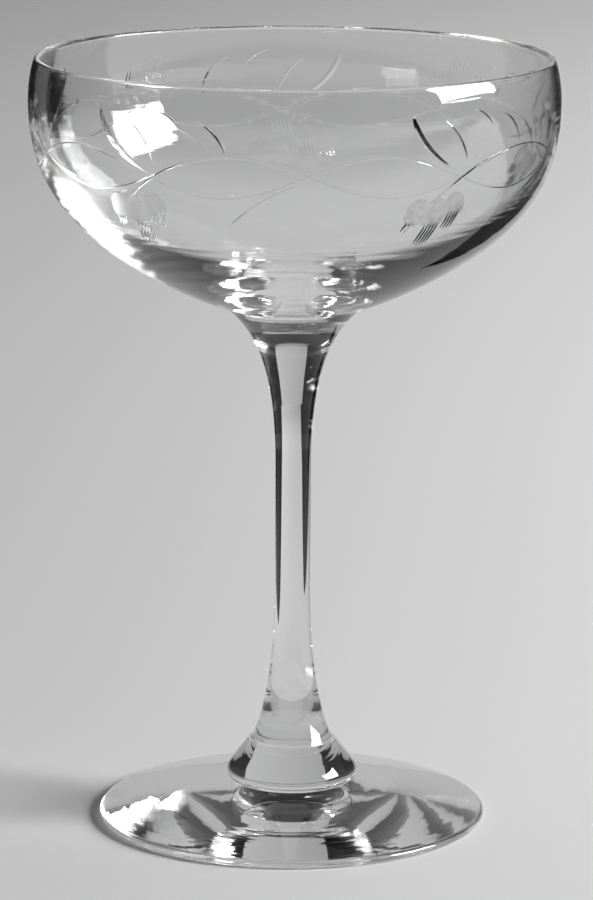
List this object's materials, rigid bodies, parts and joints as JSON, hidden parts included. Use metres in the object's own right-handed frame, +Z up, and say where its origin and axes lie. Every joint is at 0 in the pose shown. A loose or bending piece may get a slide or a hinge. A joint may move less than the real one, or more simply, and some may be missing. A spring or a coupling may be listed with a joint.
{
  "type": "sherbet glass",
  "caption": "Clear stemmed sherbet glass: a wide saucer bowl on a tall drawn stem, with a knop and a round foot.",
  "frame": {"origin": "centre of the face that the foot rests on", "axes": "+Z up along the glass's axis of revolution, towards the rim; -Y faces the viewer of the picture"},
  "size_m": [0.1018, 0.1018, 0.15],
  "materials": {
    "bowl_glass": "polished clear glass, cut and grey-cut ornament",
    "stem_glass": "fire-polished clear glass",
    "knop_glass": "fire-polished clear glass",
    "foot_glass": "fire-polished clear glass"
  },
  "bodies": {
    "root": {"bowl": "bowl_glass", "stem": "stem_glass", "knop": "knop_glass", "foot": "foot_glass"}
  },
  "joints": []
}
